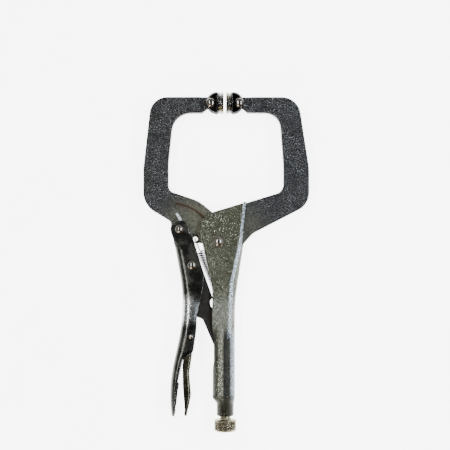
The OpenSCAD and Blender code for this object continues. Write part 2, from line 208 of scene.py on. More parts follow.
def stripe(n, start, end, half_mm, fade_mm=1.5):
    """1 along the strip from start to end, fading out by half_mm to each side and in fade_mm at the ends."""
    (x0, y0), (x1, y1) = start, end
    length = math.hypot(x1 - x0, y1 - y0)
    way = ((x1 - x0) / length, (y1 - y0) / length)
    across = n.math("ABSOLUTE", n.along_axis(x0, y0, (-way[1], way[0])))
    down = n.along_axis(x0, y0, way)
    band = n.math("MULTIPLY", n.remap(across, half_mm * 0.5 * MM, half_mm * MM, 1.0, 0.0),
                  n.remap(down, 0.0, fade_mm * MM))
    return n.math("MULTIPLY", band, n.remap(down, (length - fade_mm) * MM, length * MM, 1.0, 0.0))


# where the movable jaw's pocket gets its painted highlight (along the draft) and its painted shade (along the
# groove arc)
DRAFT_HIGHLIGHT = ((-34.4, 23.6), (-23.4, 4.8))
GROOVE_CENTRE, GROOVE_R = (-38.6, -5.4), 36.5
GROOVE_LEFT, GROOVE_FOOT, GROOVE_FADE = -37, 12, 0.003


def pocket_painted_light(n, color, _grains):
    """Painted light on the pocket's edges: a painted highlight along its straight draft side and a painted
    brown shade along its curved top.
    """
    # painted highlight along the pocket's straight draft edge
    bright = stripe(n, *DRAFT_HIGHLIGHT, 1.3)
    color = n.mix(n.math("MULTIPLY", bright, 0.85), color, (0.75, 0.8, 0.8))
    # painted brown shade along the pocket's curved top
    _, far = n.near(*GROOVE_CENTRE, 1, 2)
    off = n.math("ABSOLUTE", n.math("SUBTRACT", far, GROOVE_R * MM))
    groove_shade = n.math("MULTIPLY", n.remap(off, 0.0006, 0.0012, 1.0, 0.0),
                    n.remap(n.along_axis(GROOVE_LEFT, 0, (1, 0)), 0.0, GROOVE_FADE))
    groove_shade = n.math("MULTIPLY", groove_shade, n.remap(n.along_axis(0, GROOVE_FOOT, (0, 1)), 0.0, GROOVE_FADE))
    return n.mix(n.math("MULTIPLY", groove_shade, 0.9), color, (0.03, 0.014, 0.006))


# the handle's painted highlight along its bend as stretches of start, end and half width, and the grip's
# painted light and dark reflection bands as x, half width, colour, strength and whether the grain shows
# through
BEND_HIGHLIGHT = (((21.8, 34.5), (18.3, -0.5), 1.6),
        ((18.6, 2.0), (10.4, -36), 1.8),
        ((10.8, -33.5), (8.8, -80), 2.0))
GRIP_REFLECTION_BANDS = ((2.2, 2.9, (0.42, 0.43, 0.36), 0.55, True),
              (6.9, 3.8, (0.008, 0.008, 0.01), 0.8, False),
              (11.6, 2.6, (0.3, 0.36, 0.44), 0.5, True),
              (-3.2, 2.6, (0.008, 0.007, 0.005), 0.7, False))
BANDS_FROM_Y, BANDS_TO_Y, BANDS_FADE = -66, -136, 14


def handle_tones_and_painted_light(n, color, grains):
    """Painted light and tones on the handle: a painted highlight along its bend, painted light and dark
    reflection bands along the grip, dark at the collar.
    """
    grain_breakup = n.remap(grains, 0.42, 0.58, 0.15, 1.0)
    # painted bluish highlight along the handle's bend
    for start, end, wide in BEND_HIGHLIGHT:
        bend = n.math("MULTIPLY", stripe(n, start, end, wide), grain_breakup)
        color = n.mix(n.math("MULTIPLY", bend, 0.75), color, (0.62, 0.74, 0.84))
    pale, _ = n.near(3, -60, 4, 24)
    color = n.mix(n.math("MULTIPLY", n.math("MULTIPLY", pale, grain_breakup), 0.4), color, (0.42, 0.43, 0.38))
    # painted light and dark reflection bands along the grip
    for x, wide, tone, strength, grainy in GRIP_REFLECTION_BANDS:
        band = stripe(n, (x, BANDS_FROM_Y), (x, BANDS_TO_Y), wide, BANDS_FADE)
        band = n.math("MULTIPLY", band, strength)
        if grainy:
            band = n.math("MULTIPLY", band, grain_breakup)
        color = n.mix(band, color, tone)
    dark, _ = n.near(SCREW_X, -140, 7, 17)
    return n.mix(n.math("MULTIPLY", dark, 0.85), color, (0.009, 0.0075, 0.004))


def polished(name, base, warm, rough, edge_mm=0.3, scratch=0.25, patch=None):
    """Smooth steel with faint brushing, smudges and small pits."""
    n = Nodes(name)
    lines = n.noise(0.35, 2.0, 0.5, n.stretched(1.0, 0.08, 1.0))
    smudge = n.noise(7.0, 3.0, 0.5)
    pits = n.noise(0.5, 2.0, 0.5)
    color = n.mix(n.remap(smudge, 0.4, 0.66), base, warm)
    # a paler speckled patch of the given size and tone about x, y
    if patch:
        x, y, size, tone = patch
        pale_here, _ = n.near(x, y, size * 0.3, size)
        color = n.mix(n.math("MULTIPLY", pale_here, n.remap(pits, 0.35, 0.65)), color, tone)
    normal, worn = n.edge(edge_mm)
    color = n.mix(n.math("MULTIPLY", worn, 0.4), color, (0.62, 0.61, 0.56))
    roughness = n.math("ADD", n.remap(smudge, 0.3, 0.7, rough * 0.85, rough * 1.25),
                       n.remap(pits, 0.6, 0.75, 0.0, 0.12))
    bump = n.bump(n.math("ADD", lines, n.math("MULTIPLY", pits, 0.6)), scratch, 0.06, normal)
    return n.finish(color, 1.0, roughness, bump)


forged = speckled_steel("forged_dark", (0.004, 0.004, 0.005), (0.022, 0.023, 0.024), (0.2, 0.205, 0.205),
                        (0.014, 0.015, 0.016), 1.5, 0.85, 0.36, plating=(0.06, 0.062, 0.046))
# the movable jaw: speckled steel with the pocket's painted highlight and painted shade
forged_pale = speckled_steel("forged_plated", (0.004, 0.004, 0.005), (0.022, 0.023, 0.023),
                             (0.2, 0.205, 0.2), (0.014, 0.014, 0.014), 1.5, 0.85, 0.36, 0.9,
                             plating=(0.1, 0.1, 0.07), painted_light_and_tones=pocket_painted_light)
# the handle: speckled steel with a painted highlight along its bend and painted reflection bands on the grip
plated = speckled_steel("plated_handle", (0.011, 0.0115, 0.007), (0.058, 0.062, 0.04), (0.33, 0.345, 0.28),
                        (0.05, 0.052, 0.034), 1.2, 0.92, 0.28, 0.4, 1.0,
                        painted_light_and_tones=handle_tones_and_painted_light)
lever_steel = polished("lever_steel", (0.034, 0.034, 0.031), (0.048, 0.048, 0.042), 0.24, 0.35, 0.6,
                       patch=(-25, -56, 15, (0.6, 0.62, 0.6)))
release_steel = polished("release_steel", (0.05, 0.045, 0.03), (0.075, 0.07, 0.048), 0.24)
link_steel = speckled_steel("link_steel", (0.003, 0.0025, 0.002), (0.01, 0.0085, 0.007), (0.03, 0.026, 0.02),
                            (0.006, 0.0045, 0.005), 0.7, 0.8, 0.4, 0.3, 0.4)
rivet_steel = polished("rivet_steel", (0.15, 0.143, 0.125), (0.2, 0.185, 0.15), 0.2, 0.1, 0.1)
pad_steel = polished("pad_steel", (0.15, 0.15, 0.145), (0.22, 0.19, 0.12), 0.16, 0.12, 0.12)
yoke_black = polished("yoke_black", (0.018, 0.018, 0.02), (0.035, 0.034, 0.032), 0.16, 0.25, 0.12)
screw_steel = polished("screw_steel", (0.16, 0.14, 0.09), (0.11, 0.095, 0.06), 0.3)
knob_steel = polished("knob_steel", (0.12, 0.108, 0.07), (0.2, 0.18, 0.125), 0.22, 0.08, 0.25)
spring_steel = polished("spring_steel", (0.012, 0.012, 0.012), (0.025, 0.022, 0.018), 0.35, 0.05, 0.1)


# ---------------------------------------------------------------- mesh helpers


def new_object(name, points, faces, material, smooth_deg=35):
    mesh = bpy.data.meshes.new(name)
    mesh.from_pydata([tuple(p) for p in points], [], faces)
    mesh.validate()
    bm = bmesh.new()
    bm.from_mesh(mesh)
    bmesh.ops.remove_doubles(bm, verts=bm.verts, dist=1e-6)
    bmesh.ops.recalc_face_normals(bm, faces=bm.faces)
    bm.to_mesh(mesh)
    bm.free()
    mesh.shade_smooth()
    mesh.set_sharp_from_angle(angle=math.radians(smooth_deg))
    obj = bpy.data.objects.new(name, mesh)
    bpy.context.scene.collection.objects.link(obj)
    mesh.materials.append(material)
    return obj


def modify(obj, kind, **values):
    modifier = obj.modifiers.new(kind.lower(), kind)
    for key, value in values.items():
        setattr(modifier, key, value)
    return modifier


def bake(obj, smooth_deg=35):
    """The object with its modifiers applied."""
    bpy.context.view_layer.update()
    shown = obj.evaluated_get(bpy.context.evaluated_depsgraph_get())
    mesh = bpy.data.meshes.new_from_object(shown)
    obj.modifiers.clear()
    obj.data = mesh
    mesh.shade_smooth()
    mesh.set_sharp_from_angle(angle=math.radians(smooth_deg))
    return obj


def cut(obj, cutter):
    """obj less the cutter, which is thrown away."""
    modify(obj, "BOOLEAN", operation="DIFFERENCE", solver="EXACT", object=cutter)
    bake(obj)
    bpy.data.objects.remove(cutter)
    return obj


def keep_shape(node, material):
    """A CAD node that shows as it is, with its own surface."""
    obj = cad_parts[node]
    obj.data.materials.clear()
    obj.data.materials.append(material)
    return obj


def stand_in(obj, body, nodes):
    """obj rides on body and shows in place of the CAD nodes."""
    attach(obj, body)
    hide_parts(*nodes)
    return obj


# ---------------------------------------------------------------- outlines


def arc_corner(p, q, s, r, steps=10):
    """The arc that rounds the corner q between p and s."""
    p, q, s = Vector(p), Vector(q), Vector(s)
    u, v = (p - q).normalized(), (s - q).normalized()
    half = u.angle(v) / 2
    centre = q + (u + v).normalized() * r / math.sin(half)
    first = q + u * r / math.tan(half) - centre
    turn = math.pi - 2 * half
    side = 1 if (-u).x * v.y - (-u).y * v.x > 0 else -1
    points = []
    for i in range(steps + 1):
        a = side * turn * i / steps
        points.append(centre + Vector((first.x * math.cos(a) - first.y * math.sin(a),
                                       first.x * math.sin(a) + first.y * math.cos(a))))
    return points


def rounded(corners):
    """A closed outline from corners given as x, y and radius."""
    points = []
    for i, c in enumerate(corners):
        p, s = corners[i - 1], corners[(i + 1) % len(corners)]
        points += arc_corner(p[:2], c[:2], s[:2], c[2]) if c[2] > 0 else [Vector(c[:2])]
    return points


def inset(points, d):
    """The closed outline moved inwards by d at each point."""
    area = sum(a.x * b.y - b.x * a.y for a, b in zip(points, points[1:] + points[:1]))
    sign = 1 if area > 0 else -1
    moved = []
    for i, q in enumerate(points):
        u = (q - points[i - 1]).normalized()
        v = (points[(i + 1) % len(points)] - q).normalized()
        n = Vector((-(u + v).y, (u + v).x)) * sign
        n.normalize()
        moved.append(q + n * d / max(0.5, math.cos(u.angle(v, 0.0) / 2)))
    return moved


def ring_faces(n, count):
    """The quads between count rings of n points each."""
    return [(k * n + i, k * n + (i + 1) % n, (k + 1) * n + (i + 1) % n, (k + 1) * n + i)
            for k in range(count - 1) for i in range(n)]


def end_faces(n, count):
    """The two faces that close the first and the last of count rings of n points each."""
    return [tuple(reversed(range(n))), tuple(range((count - 1) * n, count * n))]


def plate(name, corners, half_t, edge, material, steps=4):
    """A flat plate, both faces' edges rounded to radius edge, all in millimetres about the main pivot."""
    outline = []
    for q in rounded(corners):
        if not outline or (q - outline[-1]).length > 0.02:
            outline.append(q)
    rings = []
    for i in range(steps + 1):
        a = math.pi / 2 * i / steps
        rings.append((edge * (1 - math.sin(a)), -half_t + edge * (1 - math.cos(a))))
    rings += [(d, -z) for d, z in reversed(rings)]
    points, n = [], len(outline)
    for d, z in rings:
        points += [place(q.x, q.y, z) for q in inset(outline, d)]
    return new_object(name, points, end_faces(n, len(rings)) + ring_faces(n, len(rings)), material)


def circle(r, sides):
    """Points round a circle of radius r."""
    turns = [2 * math.pi * i / sides for i in range(sides)]
    return [(r * math.cos(a), r * math.sin(a)) for a in turns]


def disc_cutter(name, x, y, r, z0, z1, sides):
    """A cylinder from z0 to z1 to cut a bore with."""
    points = [place(x + u, y + v, z) for z in (z0, z1) for u, v in circle(r, sides)]
    return new_object(name, points, end_faces(sides, 2) + ring_faces(sides, 2), forged)


def at_length(points, lengths, s):
    """The point at length s along the line, given the length up to each of its points."""
    for i in range(len(points) - 1):
        if s <= lengths[i + 1] + 1e-9:
            span = lengths[i + 1] - lengths[i]
            return points[i].lerp(points[i + 1], (s - lengths[i]) / span if span else 0.0)
    return points[-1]


def split_even(points, count):
    """count points evenly spaced along the open line."""
    points = [Vector(p) for p in points]
    lengths = [0.0]
    for a, b in zip(points, points[1:]):
        lengths.append(lengths[-1] + (b - a).length)
    return [at_length(points, lengths, lengths[-1] * i / (count - 1)) for i in range(count)]


def smooth(t):
    """0 below t = 0, 1 above t = 1, and an even S between them."""
    t = min(1.0, max(0.0, t))
    return t * t * (3 - 2 * t)


# ---------------------------------------------------------------- forged jaws


def round_edges(node, material, width_mm, angle=50):
    """A CAD node with its edges rounded by a modifier and its own surface."""
    obj = keep_shape(node, material)
    modify(obj, "WELD", merge_threshold=1e-6)
    modify(obj, "DECIMATE", decimate_type="DISSOLVE", angle_limit=math.radians(0.6))
    modify(obj, "BEVEL", width=width_mm * MM, segments=4, limit_method="ANGLE",
           angle_limit=math.radians(angle), use_clamp_overlap=False, miter_outer="MITER_ARC")
    return obj


round_edges("fixed_jaw", forged, 0.8)
keep_shape("movable_jaw", forged_pale)

# ---------------------------------------------------------------- pressed channels


# how many points a channel's section has on its lip, front bend, flat wall, back bend and half back
LIP_N, FRONT_N, FLAT_N, BEND_N, WEB_N = 3, 6, 8, 8, 4
# faces to each side of the middle that belong to the back
BACK_FACES = 6
# the bend radius of a section that has hardly any
SHARP = 0.05


def section(width, half, r, front_r=0.0, lip=None, crown=0.0):
    """Half of a channel's outside from its free edge at u = width round to the middle of its back at u = 0.

    front_r rounds a wall that turns in at the free edge and runs down to z = lip, and crown lowers the
    wall by that much at its two sides. Points are (u, z).
    """
    r = min(r, half)
    lip = half if lip is None else lip
    points = []
    start = 0.0
    if front_r > 0.05:
        level = half - front_r
        if lip < level:
            points += [(width, lip + (level - lip) * i / LIP_N) for i in range(LIP_N)]
        else:
            start = math.asin(min(1.0, (lip - level) / front_r))
            points += [(width - front_r * (1 - math.cos(start)), lip)] * LIP_N
        for i in range(FRONT_N):
            a = start + (math.pi / 2 - start) * i / FRONT_N
            points.append((width - front_r * (1 - math.cos(a)), level + front_r * math.sin(a)))
    else:
        front_r = 0.0
        points += [(width, half)] * (LIP_N + FRONT_N)
    reach = math.pi / 2 if width >= r else math.acos(1 - width / r)
    flat_from, flat_to = width - front_r, min(r, width)
    for i in range(FLAT_N):
        u = flat_from + (flat_to - flat_from) * i / FLAT_N
        points.append((u, half - r + r * math.sin(reach)))
    for i in range(BEND_N):
        a = reach * (1 - i / BEND_N)
        points.append((r * (1 - math.cos(a)), half - r + r * math.sin(a)))
    points += [(0.0, (half - r) * (1 - i / WEB_N)) for i in range(WEB_N + 1)]
    if crown:
        points = [(u, z - crown * (2 * u / width - 1) ** 2 * (1 if z > half - 0.6 else 0)) for u, z in points]
    return points


def channel(name, rows, sheet, material, flip=False, edge=0.3):
    """Formed sheet from rows of (back point, free-edge point, outside section, whether the back is there)."""
    points, faces = [], []
    count = 2 * len(rows[0][2]) - 1
    middle = count // 2
    for back, free, outside, _ in rows:
        back, free = Vector(back), Vector(free)
        across = (free - back).normalized()
        for u, z in outside + [(u, -z) for u, z in reversed(outside[:-1])]:
            q = back + across * u
            points.append(place(q.x, q.y, z))
    for k in range(len(rows) - 1):
        for i in range(count - 1):
            if not rows[k][3] and abs(i + 0.5 - middle) < BACK_FACES:
                continue
            quad = (k * count + i, k * count + i + 1, (k + 1) * count + i + 1, (k + 1) * count + i)
            faces.append(tuple(reversed(quad)) if flip else quad)
    mesh = bpy.data.meshes.new(name)
    mesh.from_pydata([tuple(p) for p in points], [], faces)
    bm = bmesh.new()
    bm.from_mesh(mesh)
    bmesh.ops.remove_doubles(bm, verts=bm.verts, dist=5e-6)
    bmesh.ops.dissolve_degenerate(bm, edges=bm.edges, dist=5e-6)
    bmesh.ops.delete(bm, geom=[v for v in bm.verts if not v.link_faces], context="VERTS")
    bm.to_mesh(mesh)
    bm.free()
    obj = bpy.data.objects.new(name, mesh)
    bpy.context.scene.collection.objects.link(obj)
    mesh.materials.append(material)
    # narrow rows get thinner sheet, so that a tail's front and back don't meet
    thin = obj.vertex_groups.new(name="sheet")
    widths = KDTree(len(rows))
    for i, row in enumerate(rows):
        centre = (Vector(row[0]) + Vector(row[1])) / 2
        widths.insert(place(centre.x, centre.y), i)
    widths.balance()
    for v in mesh.vertices:
        row = rows[widths.find((v.co.x, v.co.y, place(0, 0).z))[1]]
        width = (Vector(row[1]) - Vector(row[0])).length
        thin.add([v.index], max(0.15, min(1.0, width / (3.2 * sheet))), "REPLACE")
    modify(obj, "SOLIDIFY", thickness=sheet * MM, offset=1.0, use_even_offset=False,
           use_quality_normals=True, vertex_group="sheet")
    bake(obj, 40)
    modify(obj, "BEVEL", width=edge * MM, segments=3, limit_method="ANGLE", angle_limit=math.radians(50),
           use_clamp_overlap=True)
    bake(obj, 40)
    modify(obj, "WEIGHTED_NORMAL", mode="FACE_AREA", weight=100, keep_sharp=True)
    return obj


HALF = 8.0
SHEET = 2.3
BEND_R = 5.6
BACK_X = 13.6
TUBE_FRONT_X = -4.9
FLARE_Y = -61.9
FLARE_R = 171.0
FLARE = math.radians(8.7)
JAW_EXIT_Y = -2.05
GRIP_END_Y = -127.5
CHEEK_FOOT_Y = -76
LIP_OPEN, LIP_CLOSED = 4.4, 2.2
CROWN = 1.7
BACK_TOP = [(20.75, -2.0), (21.9, 10), (22.9, 32.4)]
CHEEK_ROWS = 60


def handle_back(y):
    """x of the handle's back at height y."""
    if y <= FLARE_Y:
        return BACK_X
    if y <= FLARE_Y + FLARE_R * math.sin(FLARE):
        return BACK_X + FLARE_R - math.sqrt(FLARE_R**2 - (y - FLARE_Y) ** 2)
    x = BACK_X + FLARE_R * (1 - math.cos(FLARE))
    return x + (y - FLARE_Y - FLARE_R * math.sin(FLARE)) * math.tan(FLARE)


def tube_r(y):
    """Outside radius of the bends: the pressing gets rounder below the cheeks."""
    return BEND_R + 2.1 * smooth((-70 - y) / 12)


def cheek_front():
    """The cheeks' free edge, up from the grip and round the corner above the jaw rivet."""
    corner = rounded([(TUBE_FRONT_X, CHEEK_FOOT_Y, 0), (TUBE_FRONT_X, -36.1, 60), (-18.2, 19.9, 16),
                      (*BACK_TOP[-1], 0)])
    return [q for q in corner if q.x < 3]


def handle_rows():
    """The grip's rows, nearly closed in front, and then the open cheeks' rows up to the jaws."""
    rows = []
    y = GRIP_END_Y
    while y < CHEEK_FOOT_Y - 0.01:
        lip = LIP_OPEN + (LIP_CLOSED - LIP_OPEN) * smooth((-99 - y) / 6)
        crown = CROWN * smooth((-70 - y) / 10)
        grip = section(BACK_X - TUBE_FRONT_X, HALF, tube_r(y), tube_r(y), lip, crown)
        rows.append(((BACK_X, y), (TUBE_FRONT_X, y), grip, True))
        y += 1.5
    front = split_even(cheek_front(), CHEEK_ROWS)
    heights = [CHEEK_FOOT_Y + 0.5 * i for i in range(149)]
    back_low = [(handle_back(y), y) for y in heights if y < JAW_EXIT_Y]
    back = split_even(back_low + BACK_TOP, CHEEK_ROWS)
    for b, f in zip(back, front):
        middle = (b.y + f.y) / 2
        turn_in = 1 - smooth((middle - CHEEK_FOOT_Y) / 9)
        lip = HALF + (LIP_OPEN - HALF) * turn_in
        on_back = b.y < JAW_EXIT_Y
        r = tube_r(middle) if on_back else BEND_R * (1 - smooth((b.y - JAW_EXIT_Y) / 45))
        crown = CROWN * (1 - smooth((middle + 80) / 10))
        cheek = section((f - b).length, HALF, r, tube_r(middle) * turn_in, lip, crown)
        rows.append((b, f, cheek, on_back))
    return rows


handle_shell = channel("handle_pressing", handle_rows(), SHEET, plated, flip=True)
stand_in(handle_shell, "handle", ["handle"])


def ring_rows(name, rows, material):
    """A surface through rows of rings, each a list of (x, y, z), closed at both ends."""
    n = len(rows[0])
    points = [place(*q) for row in rows for q in row]
    faces = ring_faces(n, len(rows)) + end_faces(n, len(rows))
    return new_object(name, points, faces, material, 40)


GRIP_X = (BACK_X + TUBE_FRONT_X) / 2
GRIP_HALF_X = (BACK_X - TUBE_FRONT_X) / 2
GRIP_SQUARENESS = 3.4
COLLAR_R, COLLAR_BORE, COLLAR_END_Y = 7.0, 4.95, -142.9


def grip_ring(y, blend, r, sides=72):
    """The grip's outline at blend 0, and a circle of radius r round the screw at blend 1."""
    ring = []
    power = GRIP_SQUARENESS
    for c, s in circle(1, sides):
        box = (abs(c / GRIP_HALF_X) ** power + abs(s / HALF) ** power) ** (-1 / power)
        x = (1 - blend) * (GRIP_X + box * c) + blend * (SCREW_X + r * c)
        z = (1 - blend) * box * s + blend * r * s
        ring.append((x, y, z))
    return ring


def collar():
    """The grip's end, swaged down to the round collar that the screw runs in."""
    neck_y, neck_length, steps = -127.3, 6.4, 12
    rows = [grip_ring(neck_y + 0.7, 0.0, COLLAR_R)]
    for i in range(steps + 1):
        rows.append(grip_ring(neck_y - neck_length * i / steps, smooth(i / steps), COLLAR_R))
    rim = [(7.9, 0), (4.9, 0), (0.6, 0), (0.15, 0.25), (0, 0.6), (0, 1.7)]
    rows += [grip_ring(COLLAR_END_Y + up, 1.0, COLLAR_R - less) for up, less in rim]
    rows += [grip_ring(COLLAR_END_Y + up, 1.0, COLLAR_BORE) for up in (0.4, 2.9)]
    piece = ring_rows("handle_collar", rows, plated)
    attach(piece, "handle")


collar()

TONGUE = [(7.6, -66.9, 0.5), (12, -66.9, 0), (12, -65.1, 0), (7.6, -65.1, 0.5)]
tongue = plate("spring_tongue", TONGUE, 1.4, 0.3, plated)
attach(tongue, "handle")

# ---------------------------------------------------------------- hand lever

LEAN = math.radians(10.5)
BOW_AT = Vector((-31.6, -25.5))
BOW_R, BOW = 140.0, math.radians(23)
MID = 17.0
TAIL_R, TAIL = 130.0, math.radians(20.5)
LEVER_END_Y = -142.9
LEVER_SHEET = 1.9
LEVER_CROWN = 0.7
LEVER_WEB_Y = -2.2
EAR, EAR_R = Vector((-31.7, 10.1)), 7.35
LEVER_WALL = [(-21.9, 6, 0), (-12, -26, 18), (-12.6, -38, 30), (-17.5, -60, 16), (-18.1, -74, 40),
              (-20.6, -90.4, 3), (-28.6, -94.8, 8), (-34.6, -121, 60), (-36.4, LEVER_END_Y, 0)]


def heading(a):
    return Vector((math.cos(a), math.sin(a)))


def lever_back():
    """The lever's back, from its top at the ears to its tail: straight, bowed out, straight, curved in."""
    above_bow, n = 24.4, 24
    a = LEAN - math.pi / 2
    line = [BOW_AT - heading(a) * above_bow]
    side = Vector((-math.sin(a), math.cos(a)))
    centre = BOW_AT - side * BOW_R
    for i in range(n + 1):
        t = a - BOW * i / n
        line.append(centre + BOW_R * Vector((-math.sin(t), math.cos(t))))
    a -= BOW
    line.append(line[-1] + heading(a) * MID)
    centre = line[-1] + TAIL_R * Vector((-math.sin(a), math.cos(a)))
    for i in range(1, n + 1):
        t = a + TAIL * i / n
        line.append(centre - TAIL_R * Vector((-math.sin(t), math.cos(t))))
    return [q for q in line if q.y > LEVER_END_Y - 2]


def crossing(line, y):
    """x of a line that runs down, at height y."""
    for p, q in zip(line, line[1:]):
        if (p.y - y) * (q.y - y) <= 0 and abs(p.y - q.y) > 1e-9:
            return p.x + (q.x - p.x) * (y - p.y) / (q.y - p.y)
    return line[-1].x


def open_line(corners):
    """The open outline through corners, each rounded to its radius."""
    points = [Vector(corners[0][:2])]
    for p, q, s in zip(corners, corners[1:], corners[2:]):
        points += arc_corner(p[:2], q[:2], s[:2], q[2], 12) if q[2] > 0 else [Vector(q[:2])]
    return points + [Vector(corners[-1][:2])]


def lever_rows():
    """The round ears, the walls below them with no back, and the channel down to the tail."""
    back, wall = lever_back(), open_line(LEVER_WALL)
    rows = []

    def add(left, right, r, with_back, crown=0.0):
        rows.append((left, right, section((right - left).length, HALF, r, crown=crown), with_back))

    round_n, round_top = 13, math.radians(78)
    for i in range(round_n + 1):
        a = round_top * (1 - i / round_n)
        c, s = EAR_R * math.cos(a), EAR_R * math.sin(a)
        add(EAR + Vector((-c, s)), EAR + Vector((c, s)), SHARP, False)
    ear_left, ear_right, below_n = EAR.x - EAR_R, EAR.x + EAR_R, 8
    for i in range(1, below_n + 1):
        y = EAR.y - 11.6 * i / below_n
        left = ear_left + 2.6 * smooth((EAR.y - y) / 11.0)
        right = max(ear_right, crossing(wall, y)) if y < 6 else ear_right + 1.6 * smooth((9 - y) / 6)
        add(Vector((left, y)), Vector((right, y)), SHARP + 1.6 * i / below_n, False)
    y = LEVER_WEB_Y
    while y > LEVER_END_Y:
        r = 1.8 + (BEND_R - 1.8) * smooth((-2 - y) / 5)
        add(Vector((crossing(back, y), y)), Vector((crossing(wall, y), y)), r, True,
            LEVER_CROWN * smooth((-30 - y) / 25))
        y -= 1.1
    y = LEVER_END_Y + 0.05
    add(Vector((crossing(back, y), y)), Vector((crossing(wall, y), y)), BEND_R, True, LEVER_CROWN)
    return rows


lever_shell = channel("hand_lever_pressing", lever_rows(), LEVER_SHEET, lever_steel, flip=True)
stand_in(lever_shell, "lever", ["hand_lever"])

# ---------------------------------------------------------------- toggle link

LINK_PIVOT = Vector((-21.4, -19.3))
LINK_LEAN = math.radians(19.2)
LINK_WAY = Vector((math.sin(LINK_LEAN), -math.cos(LINK_LEAN)))
LINK_SIDE = Vector((math.cos(LINK_LEAN), math.sin(LINK_LEAN)))
LINK = [(-6.9, 6.9, 6.85), (31, 6.9, 1.5), (32.4, 4.2, 2.5), (36.8, 2.9, 4), (45.5, 7.6, 6), (75.5, 4.7, 4.4),
        (75.5, -4.3, 4.2), (44.4, -6.5, 3), (38.4, -14.4, 4), (28, -11, 6), (20, -6.9, 8), (-6.9, -6.9, 6.85)]


def on_link(s, w):
    """The point s down the link from its pivot and w to its side."""
    return LINK_PIVOT + s * LINK_WAY + w * LINK_SIDE


LINK_HALF, LINK_BORE = 4.0, 2.75
link = plate("toggle_link_plate", [(*on_link(s, w), r) for s, w, r in LINK], LINK_HALF, 0.5, link_steel)
cut(link, disc_cutter("link_bore", *LINK_PIVOT, LINK_BORE, -9, 9, 32))
stand_in(link, "link", ["toggle_link"])

# ---------------------------------------------------------------- release lever

RELEASE_BACK = [(-19.4, -67.0, 0), (-19.8, -78, 20), (-21.9, -95, 20), (-23.8, -108, 20), (-22.2, -126, 14),
                (-25.9, -143.4, 0)]
RELEASE_FRONT = [(-24.4, -67.2, 0), (-26.6, -82, 10), (-29.3, -101, 20), (-29, -118, 60), (-27.1, -143.3, 0)]


RELEASE_HALF, RELEASE_TIP_HALF, RELEASE_BEND_R, RELEASE_SHEET = 5.3, 3.7, 2.4, 1.4
RIDGES_TOP_Y, RIDGES_LOW_Y, RIDGE_PITCH, RIDGE_HEIGHT = -88.5, -104, 2.6, 0.38


def release_rows():
    """The release lever's channel, with ridges across its back for the finger and a narrower tip."""
    back, front = open_line(RELEASE_BACK), open_line(RELEASE_FRONT)
    rows, y = [], -67.3
    while y > -143.2:
        ridge = 0.0
        if RIDGES_LOW_Y < y < RIDGES_TOP_Y:
            wave = math.sin((y - RIDGES_TOP_Y) * 2 * math.pi / RIDGE_PITCH)
            ridge = RIDGE_HEIGHT * max(0.0, wave) ** 0.7
        left, right = crossing(front, y), crossing(back, y) + ridge
        width = max(1.0, right - left)
        half = RELEASE_TIP_HALF + (RELEASE_HALF - RELEASE_TIP_HALF) * smooth((y + 143.4) / 9)
        rows.append(((right, y), (left, y), section(width, half, RELEASE_BEND_R), True))
        y -= 0.45
    return rows


release = channel("release_lever_pressing", release_rows(), RELEASE_SHEET, release_steel, edge=0.2)
stand_in(release, "release", ["release_lever"])

# ---------------------------------------------------------------- screw and knob

THREAD_R, THREAD_PITCH, THREAD_DEPTH = 4.85, 1.5, 0.72
KNOB_TOP, KNOB_END, KNOB_R = -145.6, -155.8, 9.0
SCREW_TIP_Y = -99
KNURL_RIDGES, KNURL_TWIST, KNURL_DEPTH, KNURL_RIM = 30, 0.27, 0.85, 1.3


def thread_r(y, a):
    """Radius of the one-start thread at height y and angle a."""
    phase = (y / THREAD_PITCH + a / (2 * math.pi)) % 1.0
    return THREAD_R - THREAD_DEPTH * (1 - abs(2 * phase - 1)) ** 1.2


def screw():
    """The screw from the knob to its rounded tip, plain for a short way at both ends."""
    sides, rows, y = 40, [], KNOB_TOP + 0.02
    while y < SCREW_TIP_Y:
        run = smooth((y - KNOB_TOP - 2.4) / 1.5) * smooth((SCREW_TIP_Y - 0.5 - y) / 1.5)
        ring = []
        for i in range(sides):
            a = 2 * math.pi * i / sides
            r = (THREAD_R - 0.35) * (1 - run) + thread_r(y, a) * run
            ring.append((SCREW_X + r * math.cos(a), y, r * math.sin(a)))
        rows.append(ring)
        y += 0.25
    tip = rows[-1][0][1]
    for lift, r in ((0.3, 3.9), (0.4, 3.2), (0.42, 1.0)):
        rows.append([(SCREW_X + u, tip + lift, v) for u, v in circle(r, sides)])
    return ring_rows("screw_thread", rows, screw_steel)


stand_in(screw(), "screw", ["adjusting_screw"])


